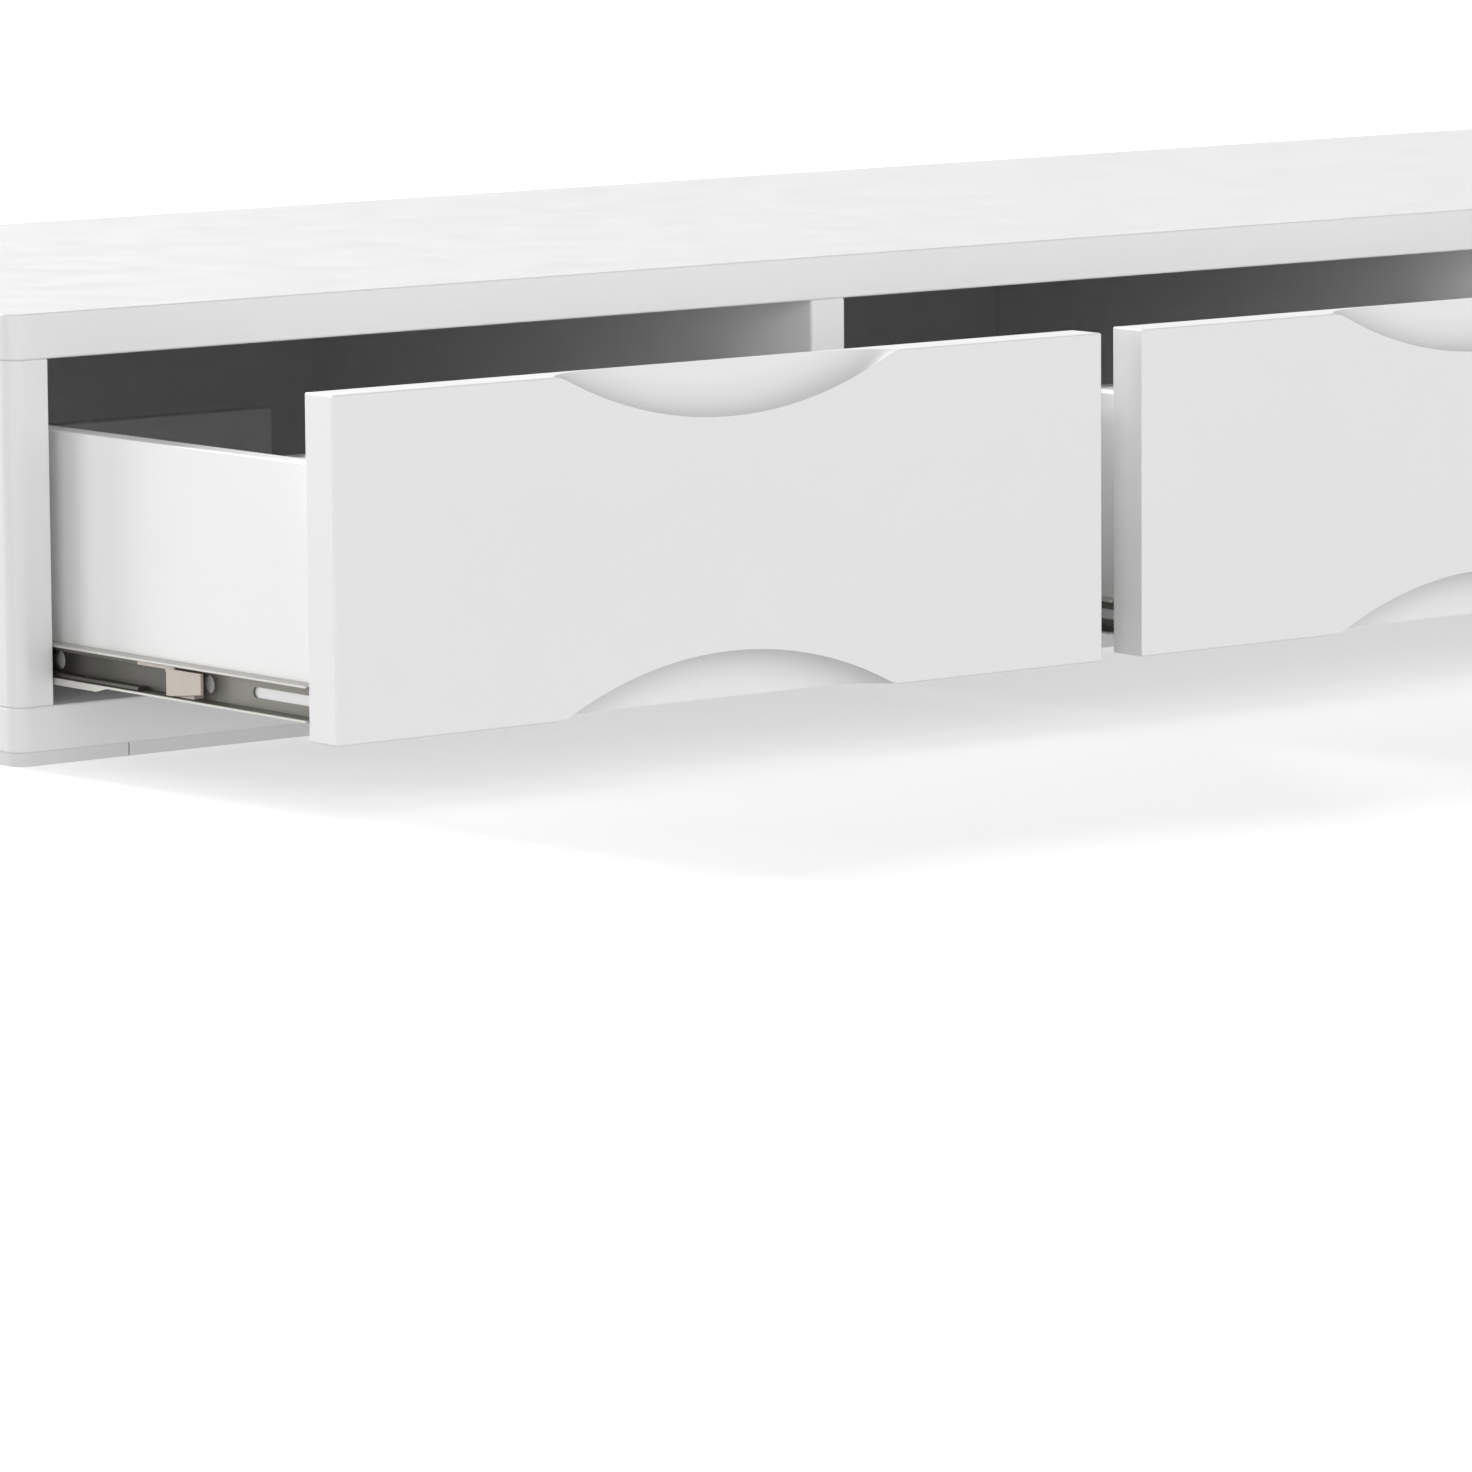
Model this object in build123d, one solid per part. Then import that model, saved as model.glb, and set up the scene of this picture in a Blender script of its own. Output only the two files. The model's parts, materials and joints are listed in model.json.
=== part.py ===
"""Under-desk drawer unit: a flat lacquered case with three inset drawers on ball-bearing slides.

Frame: millimetres, +X along the case's width, the drawer fronts face -Y, +Z up. The origin is the
centre of the case's footprint, on the underside of the spacers that lift it off the desk's leg frame.
The drawers are modelled closed and then moved out by OPEN_REST, which is how they stand at rest.
"""

from build123d import *
import os

# ---- Driving dimensions -------------------------------------------------------------------------
BAY_W = 467.0  # clear width of each of the three bays
CASE_D = 470.0  # overall depth
BOARD = 22.0  # thickness of the case boards and of the drawer fronts
OPENING_H = 166.0  # clear height of each bay
SPACER_H = 6.5  # spacer strips under the case
CORNER_R = 8.0  # vertical front corners of the case
EASE = 1.2  # eased edges of every board
DIVIDER_R = 2.0  # vertical front edges of the dividers
BACK_T = 4.0  # thin back panel, held in grooves
BACK_INSET = 35.5  # from the case's rear edges to the back panel's inner face
BACK_GROOVE = 8.0  # depth of those grooves

FRONT_SIDE_GAP = 2.0  # gap on each side of an inset front
FRONT_TOP_GAP = 1.5
FRONT_BOTTOM_GAP = 3.0
SCOOP_DEPTH = 25.0  # finger scoop, measured down the front face
SCOOP_R = 215.0  # main arc of the scoop
SCOOP_END_R = 22.0  # rounding where the arc runs out into the straight edge
SCOOP_LIP = 2.0  # straight lip left along the front's rear edge

BOX_T = 12.0  # drawer sides and back
BOX_D = 285.0  # drawer box, front to rear
BOX_LOW = 11.0  # lowest edge of the box above the bay's floor
SIDE_TOP = 130.5  # top of the drawer sides above the bay's floor
BACK_TOP = 100.0  # top of the lower drawer back above the bay's floor
BOTTOM_T = 4.0  # drawer bottom, in a groove
BOTTOM_LIFT = 8.0  # underside of the drawer bottom above the box's lowest edge
GROOVE = 5.0  # depth of the groove in the sides, back and front

SLIDE_T = 10.2  # side gap that a slide fills
SLIDE_H = 17.0  # height of the drawer member
SLIDE_MID = 20.5  # middle of the slide above the bay's floor
SLIDE_L = 283.0  # length of the drawer member
STEEL = 1.2  # sheet of the slide members
OPEN_REST = 227.0  # how far the drawers stand open at rest

# ---- Derived places -----------------------------------------------------------------------------
FRONT_Y = -CASE_D / 2
REAR_Y = CASE_D / 2
FLOOR_Z = SPACER_H + BOARD  # floor of the bays
CEIL_Z = FLOOR_Z + OPENING_H
TOP_Z = CEIL_Z + BOARD
CASE_W = 3 * BAY_W + 4 * BOARD
BAY_STEP = BAY_W + BOARD  # from one bay's centre to the next
BACK_Y = REAR_Y - BACK_INSET  # inner face of the back panel
FRONT_W = BAY_W - 2 * FRONT_SIDE_GAP
FRONT_LOW = FLOOR_Z + FRONT_BOTTOM_GAP
FRONT_HIGH = CEIL_Z - FRONT_TOP_GAP
BOX_Y = FRONT_Y + BOARD  # rear face of a closed front
BOX_HALF = BAY_W / 2 - SLIDE_T  # outer face of a drawer side, from the bay's centre
SLIDE_Z = FLOOR_Z + SLIDE_MID
TINY = 0.02  # clearance of pieces that touch without moving

SIDES = {"left": -1, "right": 1}
BAYS = {"left": -BAY_STEP, "middle": 0.0, "right": BAY_STEP}  # centres of the bays


def block(x0, x1, y0, y1, z0, z1):
    """A box given by its lowest and highest corners."""
    return Pos((x0 + x1) / 2, (y0 + y1) / 2, (z0 + z1) / 2) * Box(x1 - x0, y1 - y0, z1 - z0)


def cylinder(axis, radius, start, length):
    """A cylinder from the point start along +axis, which is "X", "Y" or "Z"."""
    turn = {"X": Rot(0, 90, 0), "Y": Rot(-90, 0, 0), "Z": Rot(0, 0, 0)}[axis]
    return Pos(*start) * turn * Cylinder(radius, length, align=(Align.CENTER, Align.CENTER, Align.MIN))


def eased(board, amount=EASE):
    """A board with every edge slightly rounded."""
    return fillet(board.edges(), amount)


def rounded_front(board, sides, radius=CORNER_R):
    """Rounds the vertical front corners of a case board on the given sides, -1 left and 1 right."""
    corners = [
        edge
        for edge in board.edges().filter_by(Axis.Z)
        if edge.center().Y < FRONT_Y + 1 and any(edge.center().X * s > CASE_W / 2 - 1 for s in sides)
    ]
    return fillet(corners, radius)


def ease_outline(board, z_values, amount=EASE):
    """Eases the edges that lie in the given horizontal planes."""
    edges = [e for e in board.edges() if any(abs(e.bounding_box().min.Z - z) < 1e-3
                                             and abs(e.bounding_box().max.Z - z) < 1e-3 for z in z_values)]
    return fillet(edges, amount)


# ---- Case ---------------------------------------------------------------------------------------
DOWEL_R = 4.0
DOWEL_L = 30.0
DOWEL_DEEP = 12.0  # how far a dowel reaches into the face of a horizontal board
DOWEL_Y = (FRONT_Y + 60.0, 20.0, REAR_Y - 70.0)
SCREW_R = 2.5  # shank of the long case screws
SCREW_L = 60.0
SCREW_HEAD_R = 5.0
SCREW_HEAD_H = 4.0
SCREW_Y = (FRONT_Y + 95.0, -15.0, REAR_Y - 105.0)
UPRIGHT_X = (-1.5 * BAY_STEP, -0.5 * BAY_STEP, 0.5 * BAY_STEP, 1.5 * BAY_STEP)  # middles of the uprights

INSERT_R = 5.0  # threaded insert in the bottom board
INSERT_HOLE_R = 3.4  # its M8 thread's inner radius
INSERT_L = 18.0
INSERT_X = CASE_W / 2 - 32.5
INSERT_Y = 195.0

RAIL_W = 394.0  # rail along the foot of the back panel in each bay
RAIL_H = 83.0
RAIL_T = 12.0


def case_dowels(radius, length, low):
    """Dowel-shaped cylinders standing on every upright, between its top edge and the top board."""
    pins = []
    for x in UPRIGHT_X:
        pins += [cylinder("Z", radius, (x, y, low), length) for y in DOWEL_Y]
    return pins


def case_screws(shank_r, head_r, low, length, head_h):
    """Countersunk screws from below, through the bottom board into every upright."""
    screws = []
    for x in UPRIGHT_X:
        for y in SCREW_Y:
            shank = cylinder("Z", shank_r, (x, y, low), length)
            cone = Pos(x, y, low + head_h / 2) * Cone(head_r, shank_r, head_h)
            screws.append(shank + cone)
    return screws


def inserts(radius, length):
    return [
        cylinder("Z", radius, (sx * INSERT_X, sy * INSERT_Y, 0), length)
        for sx in (-1, 1)
        for sy in (-1, 1)
    ]


def back_groove():
    """The space of the back panel, let into the inner faces of the outer boards."""
    reach = CASE_W / 2 - BOARD + BACK_GROOVE
    return block(-reach, reach, BACK_Y, BACK_Y + BACK_T, FLOOR_Z - BACK_GROOVE, CEIL_Z + BACK_GROOVE)


def top_panel():
    board = block(-CASE_W / 2, CASE_W / 2, FRONT_Y, REAR_Y, CEIL_Z, TOP_Z)
    board = rounded_front(board, (-1, 1))
    board = ease_outline(board, (CEIL_Z, TOP_Z))
    board -= back_groove()
    for hole in case_dowels(DOWEL_R, DOWEL_DEEP + 1, CEIL_Z - 1 + TINY):
        board -= hole
    return board


def bottom_panel():
    board = block(-CASE_W / 2, CASE_W / 2, FRONT_Y, REAR_Y, SPACER_H, FLOOR_Z)
    board = rounded_front(board, (-1, 1))
    board = ease_outline(board, (SPACER_H, FLOOR_Z))
    board -= back_groove()
    for hole in case_screws(SCREW_R + TINY, SCREW_HEAD_R + TINY, SPACER_H, BOARD + 1, SCREW_HEAD_H):
        board -= hole
    for hole in inserts(INSERT_R + TINY, INSERT_L + TINY):
        board -= hole
    return board


def drilled_upright(board):
    for hole in case_dowels(DOWEL_R, DOWEL_L - DOWEL_DEEP + 1, CEIL_Z - DOWEL_L + DOWEL_DEEP - TINY):
        board -= hole
    for x in UPRIGHT_X:
        for y in SCREW_Y:
            board -= cylinder("Z", SCREW_R + TINY, (x, y, FLOOR_Z - 1), SCREW_L - BOARD + 1 + TINY)
    for screw_hole in slide_screw_holes():
        board -= screw_hole
    return board


def end_panel(side):
    inner = CASE_W / 2 - BOARD
    x0, x1 = sorted((side * inner, side * CASE_W / 2))
    board = block(x0, x1, FRONT_Y, REAR_Y, FLOOR_Z, CEIL_Z)
    board = rounded_front(board, (side,))
    front_inner = [
        e for e in board.edges().filter_by(Axis.Z)
        if e.center().Y < FRONT_Y + 1 and abs(abs(e.center().X) - inner) < 1
    ]
    board = fillet(front_inner, EASE)
    board = ease_outline(board, (FLOOR_Z, CEIL_Z), 0.8)
    board -= back_groove()
    return drilled_upright(board)


def divider(side):
    middle = side * BAY_STEP / 2
    board = block(middle - BOARD / 2, middle + BOARD / 2, FRONT_Y, BACK_Y, FLOOR_Z, CEIL_Z)
    front = [e for e in board.edges().filter_by(Axis.Z) if e.center().Y < 0]
    board = fillet(front, DIVIDER_R)
    board = ease_outline(board, (FLOOR_Z, CEIL_Z), EASE)
    return drilled_upright(board)


def back_panel():
    reach = CASE_W / 2 - BOARD + BACK_GROOVE - 0.5
    low, high = FLOOR_Z - BACK_GROOVE + 0.5, CEIL_Z + BACK_GROOVE - 0.5
    return block(-reach, reach, BACK_Y + TINY, BACK_Y + BACK_T - TINY, low, high)


def rear_rail(x):
    """A rail along the foot of the back panel in one bay."""
    rail = block(x - RAIL_W / 2, x + RAIL_W / 2, BACK_Y - RAIL_T, BACK_Y, FLOOR_Z, FLOOR_Z + RAIL_H)
    front = [e for e in rail.edges() if e.center().Y < BACK_Y - RAIL_T + 0.1]
    return fillet(front, 0.8)


# ---- Spacers ------------------------------------------------------------------------------------
SPACER_END_W = 65.0  # end spacers, wide enough for a desk leg
SPACER_SET_BACK = 1.0
SPACER_STRIP_W = 60.0
SPACER_JOINT = 0.8  # open joint between an end spacer and a strip


def end_spacer(side):
    outer = CASE_W / 2 - SPACER_SET_BACK
    x0, x1 = sorted((side * outer, side * (CASE_W / 2 - SPACER_END_W)))
    front = FRONT_Y + SPACER_SET_BACK
    board = block(x0, x1, front, REAR_Y - SPACER_SET_BACK, 0, SPACER_H)
    corner = [
        e for e in board.edges().filter_by(Axis.Z)
        if e.center().Y < front + 1 and e.center().X * side > outer - 1
    ]
    board = fillet(corner, CORNER_R)
    for hole in inserts(INSERT_R + TINY, SPACER_H):
        board -= hole
    for y in SCREW_Y:
        board -= cylinder("Z", SCREW_HEAD_R + 1, (side * UPRIGHT_X[-1], y, -1), SPACER_H + 2)
    return board


def spacer_strip(y0):
    reach = CASE_W / 2 - SPACER_END_W - SPACER_JOINT
    return block(-reach, reach, y0, y0 + SPACER_STRIP_W, 0, SPACER_H)


# ---- Slides -------------------------------------------------------------------------------------
# A slide is drawn across its own thickness: t = 0 on the case side and t = SLIDE_T on the drawer's.
CABINET_START = 52.0  # front end of the cabinet member, behind the case front
CABINET_L = 248.0
CABINET_H = 10.4
CABINET_FLANGE = 7.9
DRAWER_FLANGE = 9.6
BALL_R = 1.0
BALL_T = 5.0  # ball centres, from the case side
BALL_Z = (CABINET_H / 2 + SLIDE_H / 2 - STEEL) / 2
BALL_COUNT = 8
BALL_STEP = 14.0
CAGE_WEB_T = 0.45
CAGE_WEB_AT = 8.2
CAGE_STRIP_T = 1.5
CAGE_STRIP_FROM = 2.4
CAGE_L = 190.0
END_BLOCK_L = 29.0
CAGE_SHARE = 0.625  # how far a cage runs out for each millimetre of the drawer's travel
BLOCK_OUTER = 1.6  # outer face of the end block
BLOCK_PLATE_T = 1.5
BLOCK_PLATE_REACH = 7.5  # how far the block's outer plate stands out in front of its core
BLOCK_SLANT = 5.0  # slanted rear end of the outer plate
BLOCK_LOW, BLOCK_HIGH = -7.0, 5.9  # from the middle of the slide, as are the next heights
BLOCK_LOW_FRONT = -4.2
TAB_FROM, TAB_TO = 22.0, 52.0  # from the front of the end block
TAB_LOW, TAB_HIGH = 5.55, 7.0
SLIDE_FRONT = BOARD + 0.4  # front end of a closed slide, behind the case front
HOLE_PITCH = 123.0
VIEW_HOLE = 89.0  # round hole in the drawer member, from the front's rear face
VIEW_HOLE_R = 4.3
SLOT_FROM, SLOT_TO = 5.0, 53.5
SLOT_H = 5.2
LIP_FROM = 159.0  # front end of the guide lip, from the front's rear face
LIP_H = 2.2
LIP_SLANT = 12.0
DRAWER_SCREWS = (112.0, 165.0, 262.0)  # from the front's rear face
CABINET_SCREWS = (75.0, 170.0, 285.0)  # from the case front
SLIDE_SCREW_R = 1.6
SLIDE_SCREW_L = 11.0
DRAWER_SCREW_L = 7.5
COUNTERSINK_R = 3.4
COUNTERSINK_H = 1.8
PAN_HEAD_R = 3.3
PAN_HEAD_H = 2.0


def place_slide(solid, drawer, hand):
    """Puts a solid drawn at t, y, z on the inner face of a bay; hand is -1 left and 1 right."""
    bay = BAYS[drawer]
    if hand < 0:
        return Pos(bay - BAY_W / 2, 0, 0) * solid
    return Pos(bay + BAY_W / 2, 0, 0) * mirror(solid, about=Plane.YZ)


def channel(t_web, t_tip, height, sheet, y0, y1):
    """A C-shaped channel with its web at t_web and its flanges reaching to t_tip."""
    low, high = sorted((t_web, t_tip))
    body = block(low, high, y0, y1, SLIDE_Z - height / 2, SLIDE_Z + height / 2)
    inside = height / 2 - sheet
    if t_web < t_tip:
        hollow = block(t_web + sheet, t_tip + 1, y0 - 1, y1 + 1, SLIDE_Z - inside, SLIDE_Z + inside)
    else:
        hollow = block(t_tip - 1, t_web - sheet, y0 - 1, y1 + 1, SLIDE_Z - inside, SLIDE_Z + inside)
    outer = [e for e in body.edges().filter_by(Axis.Y) if abs(e.center().X - t_web) < 0.01]
    body = fillet(outer, sheet * 0.8)
    return body - hollow


def slide_screw_holes():
    """Pilot holes for the cabinet members' screws, in the faces of the uprights."""
    holes = []
    for drawer in BAYS:
        for hand in (-1, 1):
            for along in CABINET_SCREWS:
                hole = cylinder("X", SLIDE_SCREW_R + TINY, (-SLIDE_SCREW_L, FRONT_Y + along, SLIDE_Z),
                                SLIDE_SCREW_L + 1)
                holes.append(place_slide(hole, drawer, hand))
    return holes


def cabinet_member():
    start = FRONT_Y + CABINET_START
    body = channel(0, CABINET_FLANGE, CABINET_H, STEEL, start, start + CABINET_L)
    for along in CABINET_SCREWS:
        body -= cylinder("X", SLIDE_SCREW_R + 0.2, (-1, FRONT_Y + along, SLIDE_Z), 4)
    return body


def cabinet_screws():
    """Pan-head screws through the web of a cabinet member."""
    screws = []
    for along in CABINET_SCREWS:
        shank = cylinder("X", SLIDE_SCREW_R, (-SLIDE_SCREW_L + 1, FRONT_Y + along, SLIDE_Z),
                         SLIDE_SCREW_L + STEEL)
        head = cylinder("X", PAN_HEAD_R, (STEEL, FRONT_Y + along, SLIDE_Z), PAN_HEAD_H)
        head = fillet(head.faces().sort_by(Axis.X)[-1].edges(), 1.0)
        screws.append(shank + head)
    return screws


def drawer_member():
    start = FRONT_Y + SLIDE_FRONT
    body = channel(SLIDE_T, SLIDE_T - DRAWER_FLANGE, SLIDE_H, STEEL, start, start + SLIDE_L)
    for along in (VIEW_HOLE, VIEW_HOLE + HOLE_PITCH):
        body -= cylinder("X", VIEW_HOLE_R, (SLIDE_T - 3, BOX_Y + along, SLIDE_Z), 5)
    slot = block(SLIDE_T - 3, SLIDE_T + 1, BOX_Y + SLOT_FROM, BOX_Y + SLOT_TO,
                 SLIDE_Z - SLOT_H / 2, SLIDE_Z + SLOT_H / 2)
    body -= fillet(slot.edges().filter_by(Axis.X), SLOT_H / 2 - 0.05)
    for along in DRAWER_SCREWS:
        body -= drawer_screw(along, TINY)
    return body + guide_lip(start + SLIDE_L)


def guide_lip(rear):
    """The lip turned down along the rear part of a drawer member, with a slanted front end."""
    outer = SLIDE_T - DRAWER_FLANGE
    high = SLIDE_Z - SLIDE_H / 2 + STEEL / 2
    low = SLIDE_Z - SLIDE_H / 2 - LIP_H
    front = BOX_Y + LIP_FROM
    outline = Polyline((front, high), (front + LIP_SLANT, low), (rear, low), (rear, high), close=True)
    return Pos(outer, 0, 0) * extrude(Plane.YZ * make_face(outline), STEEL)


def drawer_screw(along, grow=0.0):
    """A countersunk screw through the web of a drawer member into the drawer side."""
    inner = SLIDE_T - STEEL
    cone = Pos(inner + COUNTERSINK_H / 2, BOX_Y + along, SLIDE_Z) * Rot(0, 90, 0)
    cone = cone * Cone(COUNTERSINK_R + grow, SLIDE_SCREW_R + grow, COUNTERSINK_H)
    shank = cylinder("X", SLIDE_SCREW_R + grow, (inner, BOX_Y + along, SLIDE_Z), DRAWER_SCREW_L + grow)
    return shank + cone


def cage_web_hole():
    """The cage's front hole, which stands over the drawer member's second hole at rest."""
    rest = BOX_Y + VIEW_HOLE + HOLE_PITCH - OPEN_REST
    return rest + OPEN_REST * CAGE_SHARE


def cage():
    """The sheet-steel ball cage of a closed slide: a web and two strips drilled for the balls."""
    start = FRONT_Y + SLIDE_FRONT + END_BLOCK_L
    stop = FRONT_Y + SLIDE_FRONT + CAGE_L
    strips_from = FRONT_Y + SLIDE_FRONT + TAB_TO + 0.5
    half = BALL_Z + CAGE_STRIP_T / 2
    body = block(CAGE_WEB_AT, CAGE_WEB_AT + CAGE_WEB_T, start, stop, SLIDE_Z - half, SLIDE_Z + half)
    for side in (-1, 1):
        middle = SLIDE_Z + side * BALL_Z
        body += block(CAGE_STRIP_FROM, CAGE_WEB_AT + CAGE_WEB_T / 2, strips_from, stop,
                      middle - CAGE_STRIP_T / 2, middle + CAGE_STRIP_T / 2)
    body -= cylinder("X", VIEW_HOLE_R + 0.5, (CAGE_WEB_AT - 1, cage_web_hole(), SLIDE_Z), 3)
    for along in ball_places():
        body -= cylinder("Z", BALL_R + TINY, (BALL_T, along, SLIDE_Z - SLIDE_H / 2), SLIDE_H)
    return body


def ball_places():
    last = FRONT_Y + SLIDE_FRONT + CAGE_L - 8.0
    return [last - i * BALL_STEP for i in range(BALL_COUNT)]


def balls():
    return [
        Pos(BALL_T, along, SLIDE_Z + side * BALL_Z) * Sphere(BALL_R)
        for along in ball_places()
        for side in (-1, 1)
    ]


def end_block():
    """The moulded stop on the front end of a cage: an outer plate, a shorter core and a tab behind."""
    front = FRONT_Y + SLIDE_FRONT
    rear = front + END_BLOCK_L - TINY
    inner = CAGE_WEB_AT + CAGE_WEB_T
    middle = BLOCK_OUTER + BLOCK_PLATE_T
    low, high = SLIDE_Z + BLOCK_LOW, SLIDE_Z + BLOCK_HIGH
    face = Polyline((front, SLIDE_Z + BLOCK_LOW_FRONT), (front, high), (rear, high), (rear, low),
                    (rear - BLOCK_SLANT, low), close=True)
    plate = Pos(BLOCK_OUTER, 0, 0) * extrude(Plane.YZ * make_face(face), BLOCK_PLATE_T)
    rear_edge = [e for e in plate.edges() if e.center().X < BLOCK_OUTER + 0.01 and e.center().Y > rear - 0.01]
    plate = chamfer(rear_edge, 1.0)
    plate = fillet(plate.faces().sort_by(Axis.X)[0].edges(), 0.3)
    core = block(middle, inner, front + BLOCK_PLATE_REACH, rear, low, high - 1.0)
    riser = block(BLOCK_OUTER + 0.3, middle, front + TAB_FROM, rear, high - 1.5, SLIDE_Z + TAB_HIGH)
    tab = block(BLOCK_OUTER + 0.3, middle, front + TAB_FROM, front + TAB_TO,
                SLIDE_Z + TAB_LOW, SLIDE_Z + TAB_HIGH)
    return plate + core + riser + tab


# ---- Drawers, drawn closed ----------------------------------------------------------------------
def scoop_cutter(up):
    """A finger scoop: an arc with rounded ends in the front face, coved into the thickness.

    It is drawn about x = 0 with the panel's edge at z = 0 and the front face at y = 0; up is 1 for
    the scoop in the top edge and -1 for the one in the bottom edge.
    """
    centre_z = SCOOP_R - SCOOP_DEPTH
    half_w = ((SCOOP_R + SCOOP_END_R) ** 2 - (centre_z + SCOOP_END_R) ** 2) ** 0.5
    share = SCOOP_R / (SCOOP_R + SCOOP_END_R)
    meet_x = half_w * share
    meet_z = centre_z - (centre_z + SCOOP_END_R) * share
    turn = meet_z / 2
    end_mid_x = half_w - (SCOOP_END_R ** 2 - (SCOOP_END_R + turn) ** 2) ** 0.5
    above = 40.0
    left_end = ThreePointArc((-half_w, 0), (-end_mid_x, turn), (-meet_x, meet_z))
    main = ThreePointArc((-meet_x, meet_z), (0, -SCOOP_DEPTH), (meet_x, meet_z))
    right_end = ThreePointArc((meet_x, meet_z), (end_mid_x, turn), (half_w, 0))
    rest = Polyline((half_w, 0), (half_w, above), (-half_w, above), (-half_w, 0))
    outline = make_face(Curve() + [left_end, main, right_end, rest])
    deep = BOARD - SCOOP_LIP
    # The sketch plane's normal is -Y, so extruding backwards goes into the panel.
    cutter = extrude(Plane.XZ * outline, -deep)
    rim = [
        e for e in cutter.edges()
        if abs(e.center().Y - deep) < 0.01 and e.geom_type == GeomType.CIRCLE
    ]
    cutter = fillet(rim, deep - 0.5)
    cutter = cutter + block(-half_w, half_w, -5, 0, 0.5, above)
    return cutter if up > 0 else mirror(cutter, about=Plane.XY)


def drawer_front(x):
    half = FRONT_W / 2
    board = block(x - half, x + half, FRONT_Y, FRONT_Y + BOARD, FRONT_LOW, FRONT_HIGH)
    board = eased(board, 1.0)
    board -= Pos(x, FRONT_Y, FRONT_HIGH) * scoop_cutter(1)
    board -= Pos(x, FRONT_Y, FRONT_LOW) * scoop_cutter(-1)
    return board


CAM_R = 6.0
CAM_DEPTH = 9.0
CAM_FROM_FRONT = 24.0
CAM_Z = (32.0, 104.0)  # above the bay's floor
CAM_BOLT_R = 2.5
CAM_BOLT_IN_FRONT = 11.0
BACK_SCREW_R = 1.8
BACK_SCREW_HEAD_R = 3.6
BACK_SCREW_HEAD_H = 2.0
BACK_SCREW_L = 40.0
BACK_SCREW_Z = (36.0, 80.0)
BOX_LOW_Z = FLOOR_Z + BOX_LOW
PANEL_LOW = BOX_LOW_Z + BOTTOM_LIFT  # underside of the drawer bottom
BOX_REAR = BOX_Y + BOX_D


def side_inner(x, hand):
    return x + hand * (BOX_HALF - BOX_T)


def cam_lock(x, hand, z, grow=0.0):
    """A cam housing, let into the inner face of a drawer side."""
    inner = side_inner(x, hand)
    start = inner if hand > 0 else inner - CAM_DEPTH - grow
    return cylinder("X", CAM_R + grow, (start, BOX_Y + CAM_FROM_FRONT, z), CAM_DEPTH + grow)


def cam_bolt(x, hand, z, grow=0.0):
    """The bolt that reaches from the drawer front into a cam."""
    middle = x + hand * (BOX_HALF - BOX_T / 2)
    start = BOX_Y - CAM_BOLT_IN_FRONT - grow
    reach = CAM_BOLT_IN_FRONT + CAM_FROM_FRONT - CAM_R - TINY + grow
    return cylinder("Y", CAM_BOLT_R + grow, (middle, start, z), reach)


def back_screw(x, hand, z, grow=0.0):
    """A countersunk screw through a drawer side into the end of the drawer back."""
    outer = x + hand * BOX_HALF
    shank_from = min(outer, outer - hand * BACK_SCREW_L)
    middle_y = BOX_REAR - BOX_T / 2
    shank = cylinder("X", BACK_SCREW_R + grow, (shank_from, middle_y, z), BACK_SCREW_L)
    cone = Pos(outer - hand * BACK_SCREW_HEAD_H / 2, middle_y, z) * Rot(0, -90 * hand, 0)
    return shank + cone * Cone(BACK_SCREW_HEAD_R + grow, BACK_SCREW_R + grow, BACK_SCREW_HEAD_H)


def for_hands(x, heights, make, **options):
    return [make(x, hand, FLOOR_Z + z, **options) for hand in (-1, 1) for z in heights]


def bottom_groove(x):
    """The space of the drawer bottom, with its edges in the grooves."""
    half = BOX_HALF - BOX_T + GROOVE
    return block(x - half, x + half, BOX_Y - GROOVE, BOX_REAR - BOX_T + GROOVE,
                 PANEL_LOW, PANEL_LOW + BOTTOM_T)


def drawer_side(drawer, hand):
    x = BAYS[drawer]
    x0, x1 = sorted((side_inner(x, hand), x + hand * BOX_HALF))
    board = block(x0, x1, BOX_Y, BOX_REAR, BOX_LOW_Z, FLOOR_Z + SIDE_TOP)
    board = ease_outline(board, (BOX_LOW_Z, FLOOR_Z + SIDE_TOP), 0.8)
    board -= bottom_groove(x)
    for z in CAM_Z:
        board -= cam_lock(x, hand, FLOOR_Z + z, TINY)
        board -= cam_bolt(x, hand, FLOOR_Z + z, TINY)
    for z in BACK_SCREW_Z:
        board -= back_screw(x, hand, FLOOR_Z + z, TINY)
    for along in DRAWER_SCREWS:
        board -= place_slide(drawer_screw(along, TINY), drawer, hand)
    return board


def drawer_back(drawer):
    x = BAYS[drawer]
    half = BOX_HALF - BOX_T
    board = block(x - half, x + half, BOX_REAR - BOX_T, BOX_REAR, BOX_LOW_Z, FLOOR_Z + BACK_TOP)
    board = ease_outline(board, (FLOOR_Z + BACK_TOP,), 0.6)
    board -= bottom_groove(x)
    for screw in for_hands(x, BACK_SCREW_Z, back_screw, grow=TINY):
        board -= screw
    return board


def drawer_bottom(drawer):
    x = BAYS[drawer]
    half = BOX_HALF - BOX_T + GROOVE - 0.5
    return block(x - half, x + half, BOX_Y - GROOVE + 0.5, BOX_REAR - BOX_T + GROOVE - 0.5,
                 PANEL_LOW, PANEL_LOW + BOTTOM_T)


def fitted_front(drawer):
    x = BAYS[drawer]
    board = drawer_front(x)
    board -= bottom_groove(x)
    for bolt in for_hands(x, CAM_Z, cam_bolt, grow=TINY):
        board -= bolt
    return board


# ---- Assembly -----------------------------------------------------------------------------------
def move_out(solids, distance):
    return [Pos(0, -distance, 0) * solid for solid in solids]


def as_list(shape):
    return shape if isinstance(shape, list) else [shape]


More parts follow.
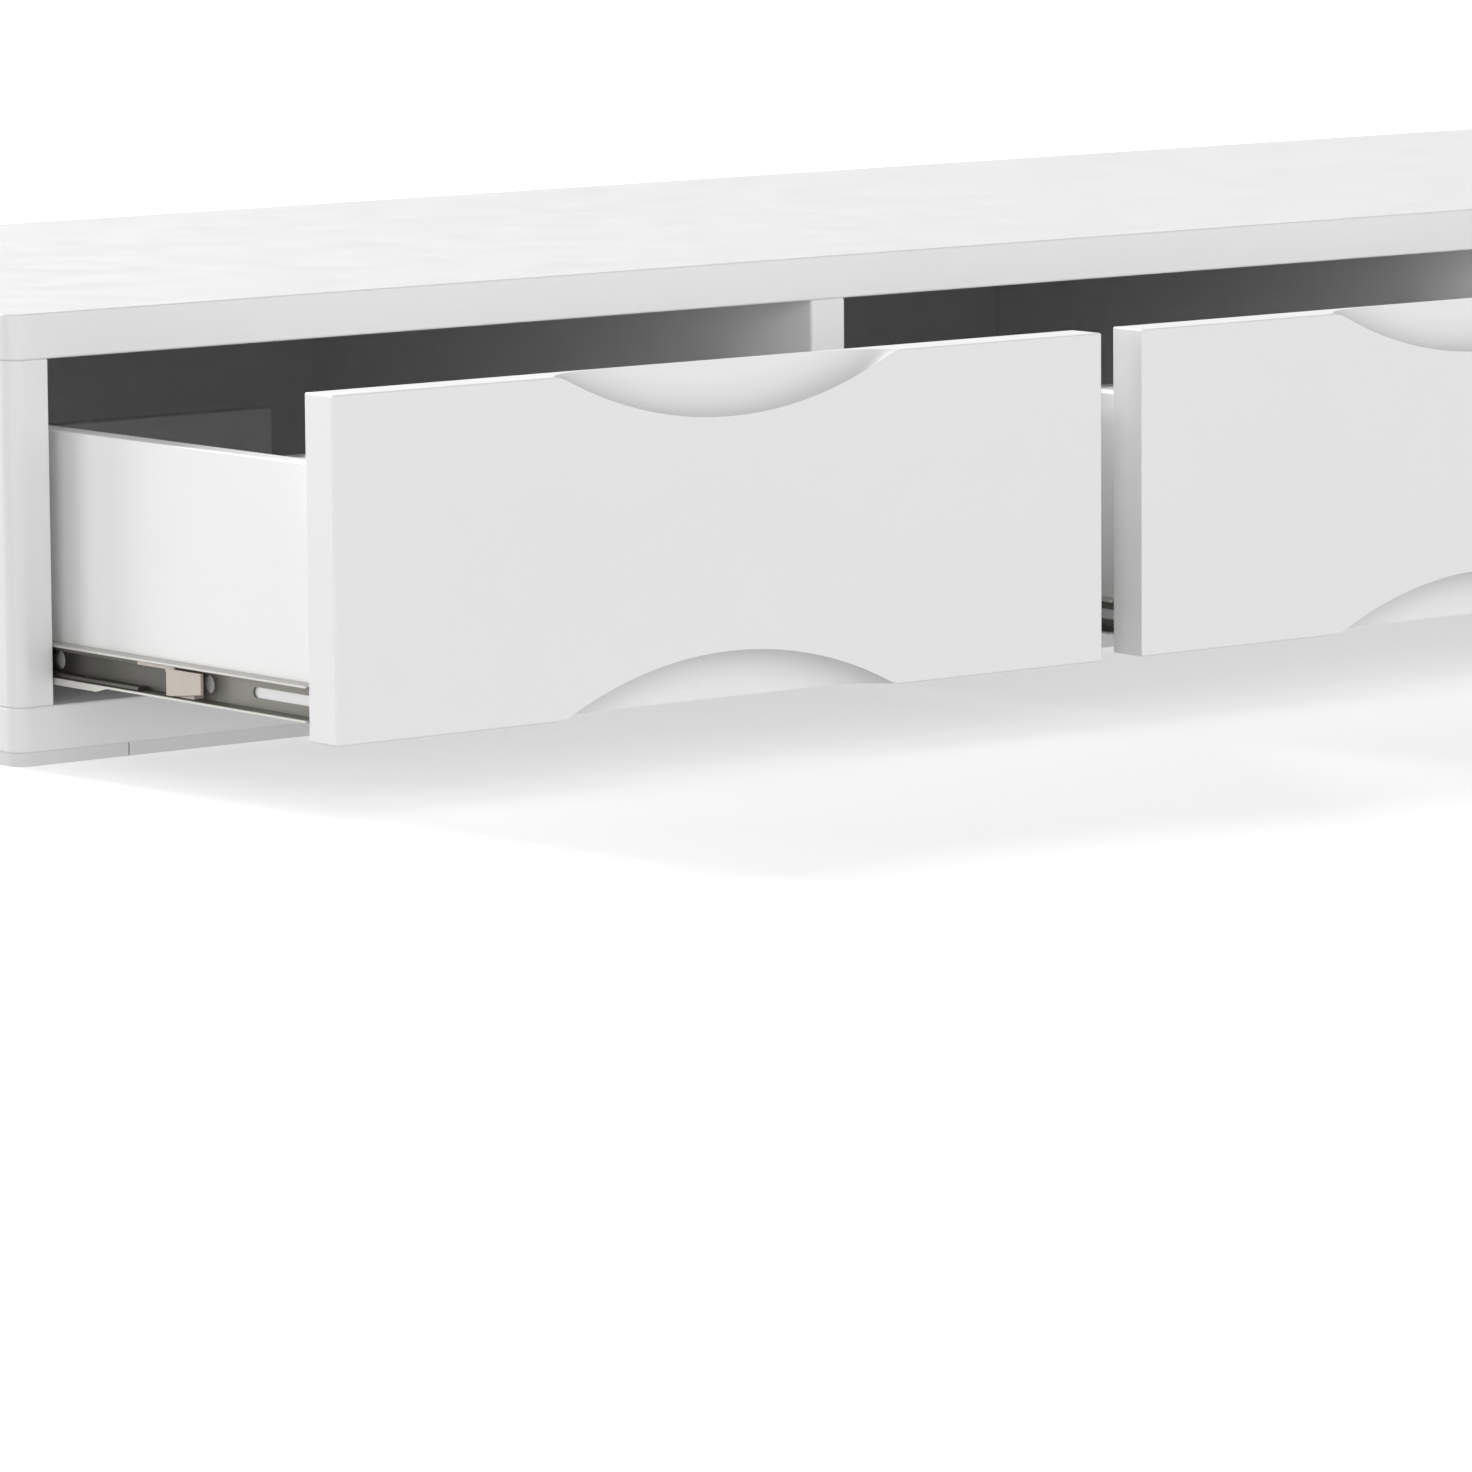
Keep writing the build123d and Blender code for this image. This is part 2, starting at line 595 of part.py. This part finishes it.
def case_nodes():
    nodes = {
        "top_panel": top_panel(),
        "bottom_panel": bottom_panel(),
        "back_panel": back_panel(),
        "rear_rails": [rear_rail(x) for x in BAYS.values()],
        "front_spacer_strip": spacer_strip(FRONT_Y + SPACER_SET_BACK),
        "rear_spacer_strip": spacer_strip(REAR_Y - SPACER_SET_BACK - SPACER_STRIP_W),
        "case_dowels": case_dowels(DOWEL_R - TINY, DOWEL_L - 1, CEIL_Z - DOWEL_L + DOWEL_DEEP + 0.5),
        "case_screws": case_screws(SCREW_R, SCREW_HEAD_R, SPACER_H, SCREW_L, SCREW_HEAD_H),
        "threaded_inserts": [
            body - hole
            for body, hole in zip(inserts(INSERT_R, INSERT_L), inserts(INSERT_HOLE_R, INSERT_L + 1))
        ],
    }
    for name, side in SIDES.items():
        nodes[f"{name}_end_panel"] = end_panel(side)
        nodes[f"{name}_divider"] = divider(side)
        nodes[f"{name}_end_spacer"] = end_spacer(side)
    return nodes


def pair(solid, drawer):
    """A slide's piece on both sides of a drawer."""
    return [place_slide(solid, drawer, hand) for hand in SIDES.values()]


def slide_nodes(drawer):
    out = OPEN_REST
    cage_out = OPEN_REST * CAGE_SHARE
    rows = [ball for hand in SIDES.values() for ball in (place_slide(b, drawer, hand) for b in balls())]
    screws = [screw for along in DRAWER_SCREWS for screw in pair(drawer_screw(along), drawer)]
    return {
        f"{drawer}_slide_cabinet_members": pair(cabinet_member(), drawer),
        f"{drawer}_slide_drawer_members": move_out(pair(drawer_member(), drawer), out),
        f"{drawer}_slide_cages": move_out(pair(cage(), drawer), cage_out),
        f"{drawer}_slide_cage_stops": move_out(pair(end_block(), drawer), cage_out),
        f"{drawer}_slide_balls": move_out(rows, cage_out),
        f"{drawer}_slide_case_screws": [s for screw in cabinet_screws() for s in pair(screw, drawer)],
        f"{drawer}_slide_drawer_screws": move_out(screws, out),
    }


def drawer_nodes(drawer):
    x = BAYS[drawer]
    nodes = {
        "front": fitted_front(drawer),
        "left_side": drawer_side(drawer, -1),
        "right_side": drawer_side(drawer, 1),
        "back": drawer_back(drawer),
        "bottom": drawer_bottom(drawer),
        "cam_locks": for_hands(x, CAM_Z, cam_lock),
        "cam_bolts": for_hands(x, CAM_Z, cam_bolt),
        "back_screws": for_hands(x, BACK_SCREW_Z, back_screw),
    }
    return {f"{drawer}_drawer_{name}": move_out(as_list(shape), OPEN_REST) for name, shape in nodes.items()}


def solids_of(shape):
    """Every separate solid of a shape or of a list of shapes."""
    return [solid for item in as_list(shape) for solid in item.solids()]


def main():
    os.makedirs("parts", exist_ok=True)
    nodes = case_nodes()
    for drawer in BAYS:
        nodes.update(drawer_nodes(drawer))
        nodes.update(slide_nodes(drawer))
    for name, shape in nodes.items():
        solids = solids_of(shape)
        export_step(solids[0] if len(solids) == 1 else Compound(children=solids), f"parts/{name}.step")


main()
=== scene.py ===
"""Looks of the under-desk drawer unit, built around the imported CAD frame.

Metres, in the CAD frame: +X along the case's width, the drawer fronts face -Y, +Z up.
"""

import json
import math

import bpy
from mathutils import Matrix, Vector


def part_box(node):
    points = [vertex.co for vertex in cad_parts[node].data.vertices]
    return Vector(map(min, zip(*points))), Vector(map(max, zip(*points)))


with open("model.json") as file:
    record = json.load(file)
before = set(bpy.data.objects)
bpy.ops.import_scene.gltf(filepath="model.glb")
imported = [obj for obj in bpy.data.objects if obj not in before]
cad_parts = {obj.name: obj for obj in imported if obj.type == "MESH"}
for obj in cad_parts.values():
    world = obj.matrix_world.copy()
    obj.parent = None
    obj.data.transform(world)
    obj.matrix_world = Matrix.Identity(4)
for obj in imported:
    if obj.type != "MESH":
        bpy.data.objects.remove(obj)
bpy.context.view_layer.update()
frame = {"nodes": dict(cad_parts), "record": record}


# ---- Node materials -----------------------------------------------------------------------------
class Surface:
    """A node material with one Principled shader, and short calls that add and link nodes."""

    def __init__(self, name):
        self.material = bpy.data.materials.new(name)
        self.material.use_nodes = True
        self.tree = self.material.node_tree
        self.shader = self.tree.nodes["Principled BSDF"]
        self.place = self.node("ShaderNodeTexCoord").outputs["Object"]

    def node(self, kind, **settings):
        made = self.tree.nodes.new(kind)
        for key, value in settings.items():
            setattr(made, key, value)
        return made

    def link(self, output, socket):
        self.tree.links.new(output, socket)

    def set(self, **values):
        """Sets the shader's own sockets; an underscore stands for a space in a socket's name."""
        for key, value in values.items():
            self.shader.inputs[key.replace("_", " ")].default_value = value
        return self

    def stretched(self, scale):
        """The object's coordinates scaled per axis, in features per metre."""
        mapping = self.node("ShaderNodeMapping")
        mapping.inputs["Scale"].default_value = scale
        self.link(self.place, mapping.inputs["Vector"])
        return mapping.outputs["Vector"]

    def noise(self, scale, detail=2.0, rough=0.5, where=None, warp=0.0):
        texture = self.node("ShaderNodeTexNoise")
        texture.inputs["Scale"].default_value = scale
        texture.inputs["Detail"].default_value = detail
        texture.inputs["Roughness"].default_value = rough
        texture.inputs["Distortion"].default_value = warp
        self.link(where or self.place, texture.inputs["Vector"])
        return texture.outputs["Fac"]

    def ramp(self, factor, *stops):
        """Colours or greys at places along the factor: (place, (r, g, b)) or (place, grey)."""
        ramp = self.node("ShaderNodeValToRGB")
        while len(ramp.color_ramp.elements) < len(stops):
            ramp.color_ramp.elements.new(0.5)
        for element, (place, colour) in zip(ramp.color_ramp.elements, stops):
            element.position = place
            grey = isinstance(colour, (int, float))
            element.color = (colour, colour, colour, 1) if grey else (*colour, 1)
        self.link(factor, ramp.inputs["Fac"])
        return ramp.outputs["Color"]

    def span(self, factor, low, high, from_low=0.3, from_high=0.7):
        """A value from low to high, while the factor goes from from_low to from_high."""
        span = self.node("ShaderNodeMapRange")
        span.inputs["From Min"].default_value = from_low
        span.inputs["From Max"].default_value = from_high
        span.inputs["To Min"].default_value = low
        span.inputs["To Max"].default_value = high
        self.link(factor, span.inputs["Value"])
        return span.outputs["Result"]

    def mix(self, factor, first, second):
        """The first colour where the factor is zero, the second where it is one."""
        mix = self.node("ShaderNodeMix", data_type="RGBA")
        self.link(factor, mix.inputs["Factor"])
        self.link(first, mix.inputs["A"])
        self.link(second, mix.inputs["B"])
        return mix.outputs["Result"]

    def painted_flange_highlight(self):
        """One on the outermost skin of the slides' flanges, which get a painted highlight, and zero
        between them.
        """
        place = self.node("ShaderNodeSeparateXYZ")
        self.link(self.place, place.inputs["Vector"])
        height = self.node("ShaderNodeMath", operation="SUBTRACT")
        self.link(place.outputs["Z"], height.inputs[0])
        height.inputs[1].default_value = SLIDE_Z
        away = self.node("ShaderNodeMath", operation="ABSOLUTE")
        self.link(height.outputs["Value"], away.inputs[0])
        return self.span(away.outputs["Value"], 0.0, 1.0, HIGHLIGHT_FROM, HIGHLIGHT_FROM + HIGHLIGHT_BLEND)

    def multiply(self, first, second):
        mix = self.node("ShaderNodeMix", data_type="RGBA", blend_type="MULTIPLY")
        mix.inputs["Factor"].default_value = 1.0
        self.link(first, mix.inputs["A"])
        self.link(second, mix.inputs["B"])
        return mix.outputs["Result"]

    def bumps(self, *layers):
        """Bump layers (height output, height in metres), one on the other."""
        below = None
        for height, metres in layers:
            bump = self.node("ShaderNodeBump")
            bump.inputs["Strength"].default_value = 1.0
            bump.inputs["Distance"].default_value = metres
            self.link(height, bump.inputs["Height"])
            if below:
                self.link(below, bump.inputs["Normal"])
            below = bump.outputs["Normal"]
        self.link(below, self.shader.inputs["Normal"])

    def colour(self, output):
        self.link(output, self.shader.inputs["Base Color"])

    def roughness(self, output):
        self.link(output, self.shader.inputs["Roughness"])


def lacquer(name, white, rough=0.42, peel=4e-6):
    """Sprayed satin lacquer: faint clouds of tone, orange peel and the fine grain of the spray."""
    s = Surface(name)
    clouds = s.noise(5.0, detail=3.0)
    tone = s.ramp(clouds, (0.3, white * 0.985), (0.7, white))
    s.colour(tone)
    s.roughness(s.span(s.noise(28.0, detail=4.0), rough - 0.04, rough + 0.04))
    s.bumps((s.noise(260.0, detail=1.0), peel), (s.noise(1500.0, detail=2.0), peel * 0.25))
    return s.set(Specular_IOR_Level=0.4).material


def hardboard(name, white):
    """Painted hardboard: the pressed fibres show through the thin paint."""
    s = Surface(name)
    fibres = s.noise(420.0, detail=5.0, rough=0.65, warp=0.8)
    blotches = s.noise(14.0, detail=3.0)
    paint = s.ramp(fibres, (0.3, white * 0.95), (0.7, white))
    s.colour(s.multiply(paint, s.ramp(blotches, (0.3, 0.96), (0.7, 1.0))))
    s.roughness(s.span(fibres, 0.55, 0.7))
    s.bumps((fibres, 2e-5))
    return s.set(Specular_IOR_Level=0.35).material


def plated_steel(name, colour, rough, highlight_colour=None):
    """Dull zinc-plated sheet: fine lines along the slide and a faint coloured film.

    With a highlight colour, the outer faces of the flanges get a painted highlight, lighter than the
    web.
    """
    s = Surface(name)
    lines = s.noise(1.0, detail=4.0, rough=0.6, where=s.stretched((2600, 45, 2600)))
    film = s.noise(34.0, detail=2.0, warp=0.6)
    dark = tuple(c * 0.86 for c in colour)
    base = s.multiply(s.ramp(lines, (0.3, dark), (0.7, colour)), s.ramp(film, *ZINC_TINTS))
    if highlight_colour:
        # Painted highlight: the flanges' outer faces are painted lighter than the web, in place of
        # the light they catch.
        bright = s.ramp(lines, (0.3, tuple(c * 0.9 for c in highlight_colour)), (0.7, highlight_colour))
        base = s.mix(s.painted_flange_highlight(), base, bright)
    s.colour(base)
    s.roughness(s.span(lines, rough - 0.06, rough + 0.08))
    s.bumps((lines, 4e-6))
    return s.set(Metallic=STEEL_METALLIC).material


def metal(name, colour, rough, grain=900.0, depth=8e-6):
    """Plain machined or cast metal with a fine grain."""
    s = Surface(name)
    fine = s.noise(grain, detail=3.0)
    s.colour(s.ramp(fine, (0.3, tuple(c * 0.88 for c in colour)), (0.7, colour)))
    s.roughness(s.span(s.noise(grain / 6), rough - 0.05, rough + 0.07))
    s.bumps((fine, depth))
    return s.set(Metallic=1.0).material


def moulded(name, colour, rough, grain=1100.0, depth=1.2e-5):
    """Moulded plastic with a fine spark-eroded grain."""
    s = Surface(name)
    fine = s.noise(grain, detail=2.0)
    cloud = s.noise(60.0)
    s.colour(s.ramp(cloud, (0.3, tuple(c * 0.95 for c in colour)), (0.7, colour)))
    s.roughness(s.span(fine, rough - 0.05, rough + 0.05))
    s.bumps((fine, depth))
    return s.set(Specular_IOR_Level=0.4).material


def beech(name):
    """Plain beech: fine grain along the dowel with short darker flecks."""
    s = Surface(name)
    grain = s.noise(1.0, detail=6.0, rough=0.65, where=s.stretched((900, 900, 40)), warp=0.4)
    flecks = s.noise(1.0, detail=2.0, where=s.stretched((1600, 1600, 260)))
    wood = s.ramp(grain, (0.25, (0.50, 0.33, 0.19)), (0.75, (0.68, 0.49, 0.31)))
    s.colour(s.multiply(wood, s.ramp(flecks, (0.28, (0.72, 0.62, 0.52)), (0.36, (1.0, 1.0, 1.0)))))
    s.roughness(s.span(grain, 0.5, 0.65))
    s.bumps((grain, 3e-5))
    return s.material


# The cages stand at the slides' middle height. The painted highlight lies HIGHLIGHT_FROM or more away
# from it.
cages_low, cages_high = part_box("left_slide_cages")
SLIDE_Z = (cages_low[2] + cages_high[2]) / 2
HIGHLIGHT_FROM = 0.0074
HIGHLIGHT_BLEND = 0.0003
STEEL_METALLIC = 0.4  # the plating is dull, so it reflects less than bare metal
ZINC_TINTS = (
    (0.25, (0.96, 0.93, 1.0)),
    (0.42, (1.0, 1.0, 1.0)),
    (0.56, (0.94, 1.0, 0.92)),
    (0.75, (1.0, 0.94, 0.93)),
)

MATERIALS = {
    "case_lacquer": lacquer("case_lacquer", 0.80),
    "front_lacquer": lacquer("front_lacquer", 0.86),
    # The spacers' darker white is painted shade: they stand in the recessed shadow gap under the
    # case.
    "spacer_board": lacquer("spacer_board", 0.70, rough=0.5),
    "box_lacquer": lacquer("box_lacquer", 0.93, rough=0.38, peel=3e-6),
    # The back panel's grey is painted shade: it darkens the bays' back walls, which lie in shade.
    "thin_panel": hardboard("thin_panel", 0.58),
    "drawer_bottom": hardboard("drawer_bottom", 0.80),
    # The last colour is a painted highlight on the flanges' outer faces.
    "slide_steel": plated_steel("slide_steel", (0.20, 0.192, 0.174), 0.42, highlight_colour=(0.56, 0.55, 0.52)),
    "cage_steel": plated_steel("cage_steel", (0.082, 0.077, 0.067), 0.45),
    "ball_steel": metal("ball_steel", (0.78, 0.78, 0.78), 0.12, depth=1e-6),
    "stop_plastic": moulded("stop_plastic", (0.575, 0.52, 0.46), 0.5),
    "screw_steel": metal("screw_steel", (0.66, 0.66, 0.65), 0.3),
    "cam_zinc": metal("cam_zinc", (0.60, 0.60, 0.61), 0.45, grain=600.0, depth=2e-5),
    "insert_brass": metal("insert_brass", (0.72, 0.56, 0.27), 0.28),
    "dowel_wood": beech("dowel_wood"),
}


# ---- CAD nodes ----------------------------------------------------------------------------------
SMOOTH_BELOW = math.radians(30)
# The drawer bottoms share the back panel's slot in the record, but are paler, since the back panel's
# grey is painted shade.
OWN_LOOKS = {f"{drawer}_drawer_bottom": "drawer_bottom" for drawer in ("left", "middle", "right")}


def dress(node, look):
    """Gives a CAD node its material, and smooth shading across its rounded edges."""
    piece = frame["nodes"][node]
    mesh = piece.data
    mesh.materials.clear()
    mesh.materials.append(MATERIALS[look])
    mesh.polygons.foreach_set("use_smooth", [True] * len(mesh.polygons))
    mesh.set_sharp_from_angle(angle=SMOOTH_BELOW)
    piece.modifiers.new("even_faces", "WEIGHTED_NORMAL").keep_sharp = True


for subpart in frame["record"]["subparts"]:
    dress(subpart["node"], OWN_LOOKS.get(subpart["node"], subpart["material_slot"]))


# ---- Floor, light and camera --------------------------------------------------------------------
FLOOR_REACH = 400.0  # far enough for the edge to lie at the horizon in low views
FLOOR_GLOW = 0.4


def floor():
    """A plain pale sheet under the unit. Only the camera and reflections see it."""
    mesh = bpy.data.meshes.new("floor")
    corners = [(x * FLOOR_REACH, y * FLOOR_REACH, 0) for x, y in ((-1, -1), (1, -1), (1, 1), (-1, 1))]
    mesh.from_pydata(corners, [], [(0, 1, 2, 3)])
    piece = bpy.data.objects.new("floor", mesh)
    bpy.context.scene.collection.objects.link(piece)
    s = Surface("floor")
    s.colour(s.ramp(s.noise(2.0), (0.3, 0.90), (0.7, 0.92)))
    s.set(Roughness=0.9, Specular_IOR_Level=0.1)
    s.set(Emission_Color=(1, 1, 1, 1), Emission_Strength=FLOOR_GLOW)
    piece.data.materials.append(s.material)
    piece.visible_diffuse = False
    piece.visible_shadow = False


def sun(name, towards, strength, spread):
    """A very soft light, spread over some degrees around the vector that points to it."""
    data = bpy.data.lights.new(name, "SUN")
    data.energy = strength
    data.angle = math.radians(spread)
    lamp = bpy.data.objects.new(name, data)
    lamp.rotation_mode = "QUATERNION"
    lamp.rotation_quaternion = Vector(towards).to_track_quat("Z", "Y")
    bpy.context.scene.collection.objects.link(lamp)
    return lamp


def shade_from(lamp, node):
    """Keeps a light's direct rays off one CAD node."""
    kept_dark = bpy.data.collections.new(f"{lamp.name}_skips")
    kept_dark.objects.link(frame["nodes"][node])
    kept_dark.collection_objects[0].light_linking.link_state = "EXCLUDE"
    lamp.light_linking.receiver_collection = kept_dark


def sky(strength):
    """Even white light from all around."""
    world = bpy.data.worlds.new("studio")
    world.use_nodes = True
    background = world.node_tree.nodes["Background"]
    background.inputs["Color"].default_value = (1, 1, 1, 1)
    background.inputs["Strength"].default_value = strength
    bpy.context.scene.world = world


CAMERA_AT = (-3.0511, -3.6881, 0.5791)
CAMERA_YAW = 38.475  # degrees to the right of +Y
CAMERA_PITCH = -7.788
CAMERA_ROLL = -0.427
CAMERA_LENS = 214.47  # mm, on a sensor of SENSOR_W
SENSOR_W = 36.0
SEES_TO = 1000.0  # past the floor's corners


def camera():
    data = bpy.data.cameras.new("camera")
    data.lens = CAMERA_LENS
    data.sensor_width = SENSOR_W
    data.clip_end = SEES_TO
    piece = bpy.data.objects.new("camera", data)
    turn = Matrix.Rotation(-math.radians(CAMERA_YAW), 4, "Z")
    tilt = Matrix.Rotation(math.radians(90 + CAMERA_PITCH), 4, "X")
    roll = Matrix.Rotation(math.radians(CAMERA_ROLL), 4, "Z")
    piece.matrix_world = Matrix.Translation(CAMERA_AT) @ turn @ tilt @ roll
    bpy.context.scene.collection.objects.link(piece)
    bpy.context.scene.camera = piece


floor()
sky(0.36)
sun("rear_left_light", (-0.42, 0.89, 0.15), 0.95, 24)
sun("left_light", (-0.89, 0.42, 0.15), 0.63, 30)
sun("front_left_light", (-0.80, -0.58, 0.10), 0.59, 30)
sun("front_right_light", (0.20, -0.97, 0.04), 0.89, 50)
sun("high_front_light", (-0.30, -0.85, 0.42), 0.46, 50)
rear_light = sun("rear_light", (0.10, 0.93, 0.35), 5.76, 30)
shade_from(rear_light, "back_panel")
camera()
bpy.context.scene.view_settings.view_transform = "Standard"
